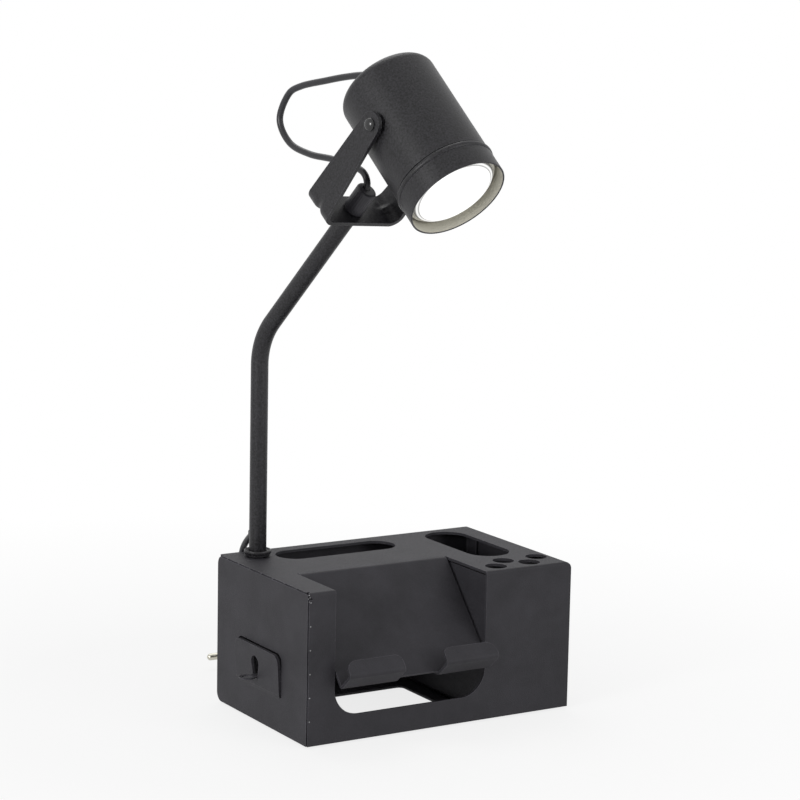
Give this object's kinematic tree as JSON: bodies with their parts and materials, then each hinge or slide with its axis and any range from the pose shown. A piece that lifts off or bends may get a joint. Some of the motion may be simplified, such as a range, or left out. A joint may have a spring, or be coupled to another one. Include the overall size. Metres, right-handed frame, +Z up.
{
  "type": "desk lamp with organizer",
  "caption": "Folded steel desk organizer with pen holes, slots and a sloping phone cradle, and a spotlight head on a yoke at the end of a bent tube stem.",
  "frame": {"origin": "on the desk, at the centre of the rear left foot, under the axis of the stem", "axes": "+Z up, +X to the right along the front, -Y towards the front"},
  "size_m": [0.1836, 0.2381, 0.3588],
  "materials": {
    "powder_coated_steel": "fine-texture black powder coat",
    "rubber": "matte",
    "zinc_plated_steel": "bright zinc plating",
    "black_plastic": "satin moulded black",
    "cable_sheath": "smooth extruded sheath",
    "white_lamp_body": "white moulded",
    "lampholder_white": "white glazed",
    "lens": "frosted",
    "nickel_plated_brass": "nickel plated"
  },
  "bodies": {
    "organizer": {"front_panel": "powder_coated_steel", "top_shell": "powder_coated_steel", "left_panel": "powder_coated_steel", "rear_panel": "powder_coated_steel", "base_plate": "powder_coated_steel", "divider_wall": "powder_coated_steel", "phone_cradle": "powder_coated_steel", "stem_tube": "powder_coated_steel", "stem_collar": "powder_coated_steel", "foot_rear_left": "rubber", "foot_rear_right": "rubber", "foot_front_left": "rubber", "foot_front_right": "rubber", "stem_grommet": "rubber", "stem_washer": "zinc_plated_steel", "stem_nut": "zinc_plated_steel", "stem_swivel_nut": "zinc_plated_steel", "switch_lower": "black_plastic", "switch_upper": "black_plastic", "coil_tie_1": "black_plastic", "coil_tie_2": "black_plastic", "plug_body": "black_plastic", "plug_relief": "black_plastic", "stem_cord": "cable_sheath", "mains_cord_drop": "cable_sheath", "mains_cord_lead": "cable_sheath", "mains_cord_coil": "cable_sheath", "mains_cord_end": "cable_sheath", "plug_pin_1": "nickel_plated_brass", "plug_pin_2": "nickel_plated_brass"},
    "yoke": {"yoke": "powder_coated_steel", "cord_grip": "black_plastic", "head_cord": "cable_sheath"},
    "head": {"head_shell": "powder_coated_steel", "front_ring": "powder_coated_steel", "head_grommet": "rubber", "lampholder": "lampholder_white", "lamp_body": "white_lamp_body", "lamp_lens": "lens", "lamp_pin_1": "nickel_plated_brass", "lamp_pin_2": "nickel_plated_brass", "tilt_screw_near": "zinc_plated_steel", "tilt_screw_far": "zinc_plated_steel", "tilt_nut_near": "zinc_plated_steel", "tilt_nut_far": "zinc_plated_steel", "tilt_washer_near": "black_plastic", "tilt_washer_far": "black_plastic"},
    "rocker": {"switch_rocker": "black_plastic"}
  },
  "joints": [
    {"name": "yoke_swivel", "type": "hinge", "parent": "organizer", "child": "yoke", "pos_m": [0.01856, -0.05885, 0.27414], "axis": [0.1985, -0.6295, 0.7513], "range_deg": [-170, 170]},
    {"name": "head_tilt", "type": "hinge", "parent": "yoke", "child": "head", "pos_m": [0.03185, -0.10103, 0.32448], "axis": [0.9721, 0.2242, -0.069], "range_deg": [-60, 44], "deforming": ["head_cord"]},
    {"name": "rocker_press", "type": "hinge", "parent": "organizer", "child": "rocker", "pos_m": [0.055, 0.0262, 0.012], "axis": [0, 1, 0], "range_deg": [0, 16]}
  ]
}
